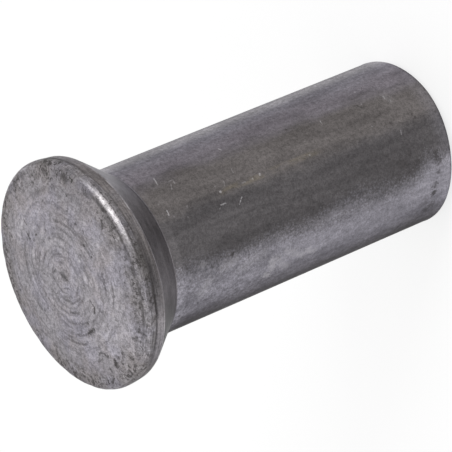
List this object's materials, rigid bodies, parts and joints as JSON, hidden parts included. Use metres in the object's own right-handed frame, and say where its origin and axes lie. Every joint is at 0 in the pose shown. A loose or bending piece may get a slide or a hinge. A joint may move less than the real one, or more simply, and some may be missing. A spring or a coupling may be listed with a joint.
{
  "type": "countersunk rivet",
  "caption": "Solid countersunk steel rivet with a crowned face, a narrow land, a 75 degree countersink and a plain round shank cut square at its end.",
  "frame": {"origin": "centre of the cut end of the shank, on the surface that the rivet stands on", "axes": "+Z along the shank to the head; -Y is the side of the cut end that the shear drew up"},
  "size_m": [0.0108, 0.0108, 0.02],
  "materials": {
    "bare_steel": "dull bare steel, as cold formed"
  },
  "bodies": {
    "root": {"rivet": "bare_steel"}
  },
  "joints": []
}
